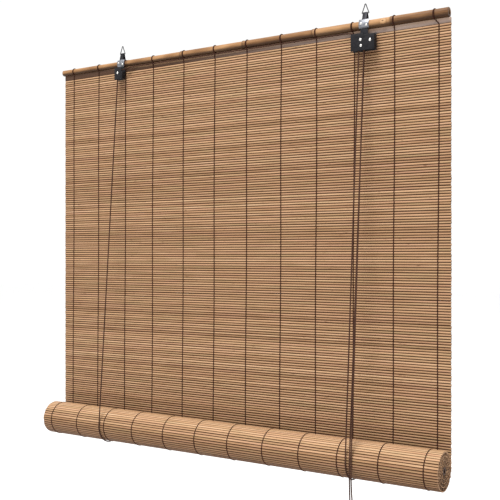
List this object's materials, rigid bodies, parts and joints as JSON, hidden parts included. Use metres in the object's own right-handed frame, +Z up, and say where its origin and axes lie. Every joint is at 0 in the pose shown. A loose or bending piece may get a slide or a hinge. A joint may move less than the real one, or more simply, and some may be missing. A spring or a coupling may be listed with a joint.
{
  "type": "roll-up blind",
  "caption": "Half-raised bamboo roll-up blind: stick mat on a cane head pole, rolled up in cord slings, with hanger rings, a pulley, a cord lock and pull cords",
  "frame": {"origin": "hook seat inside the left hanging ring, on the blind's mid-plane", "axes": "X along the head pole to the right as seen from the room, Y towards the wall, Z up"},
  "size_m": [0.804, 0.0824, 0.8488],
  "materials": {
    "cane": "waxed brown cane",
    "split_bamboo": "raw split bamboo",
    "warp_thread": "twisted thread",
    "strap_steel": "bright folded sheet",
    "ring_wire": "bent wire",
    "bright_rivet": "bright",
    "blackened_steel": "blackened",
    "sheave_plastic": "moulded",
    "cord": "braided"
  },
  "bodies": {
    "head": {"head_pole": "cane", "hanging_mat": "split_bamboo", "warp_threads": "warp_thread", "pole_ties": "warp_thread", "left_hanger_strap": "strap_steel", "right_hanger_strap": "strap_steel", "nails": "bright_rivet", "pulley_housing": "blackened_steel", "lock_housing": "blackened_steel", "anvil_bush": "sheave_plastic", "axle_rivets": "bright_rivet", "crossing_cords": "cord", "left_lift_front": "cord", "right_lift_front": "cord", "left_lift_back": "cord", "right_lift_back": "cord", "lift_cord_knots": "cord", "left_pull_upper": "cord", "right_pull_upper": "cord"},
    "left_ring": {"left_hanging_ring": "ring_wire"},
    "right_ring": {"right_hanging_ring": "ring_wire"},
    "pulley_wheel": {"pulley_sheave": "sheave_plastic"},
    "lock_wheel": {"lock_sheave": "sheave_plastic"},
    "cam": {"lock_cam": "blackened_steel"},
    "cradle": {"lift_slings": "cord", "left_pull_tail": "cord", "right_pull_tail": "cord", "pull_cord_coil": "cord", "coil_tie": "cord", "pull_cord_knot": "cord"},
    "roll": {"rolled_mat": "split_bamboo", "bottom_pole": "cane", "roll_threads": "warp_thread"}
  },
  "joints": [
    {"name": "left_ring_swing", "type": "hinge", "parent": "head", "child": "left_ring", "pos_m": [0, 0, -0.0139], "axis": [1, 0, 0], "range_deg": [-80, 80]},
    {"name": "right_ring_swing", "type": "hinge", "parent": "head", "child": "right_ring", "pos_m": [0.508, 0, -0.0139], "axis": [1, 0, 0], "range_deg": [-80, 80]},
    {"name": "roll_lift", "type": "slide", "parent": "head", "child": "cradle", "axis": [0, 0, 1], "range_m": [0, 0.4269], "deforming": ["hanging_mat", "warp_threads", "left_lift_front", "right_lift_front", "left_lift_back", "right_lift_back", "left_pull_upper", "right_pull_upper"]},
    {"name": "roll_turn", "type": "hinge", "parent": "cradle", "child": "roll", "pos_m": [0.249, -0.02965, -0.72082], "axis": [1, 0, 0], "continuous": true},
    {"name": "pulley_turn", "type": "hinge", "parent": "head", "child": "pulley_wheel", "pos_m": [0, -0.01004, -0.0527], "axis": [0, 1, 0], "continuous": true},
    {"name": "lock_wheel_turn", "type": "hinge", "parent": "head", "child": "lock_wheel", "pos_m": [0.5063, -0.01104, -0.0594], "axis": [0, 1, 0], "continuous": true},
    {"name": "cam_release", "type": "hinge", "parent": "head", "child": "cam", "pos_m": [0.5228, -0.01104, -0.0618], "axis": [0, -1, 0], "range_deg": [0, 35]}
  ],
  "couplings": [
    {"joint": "roll_turn", "follows": "roll_lift", "rad_per_m": -29.436}
  ]
}
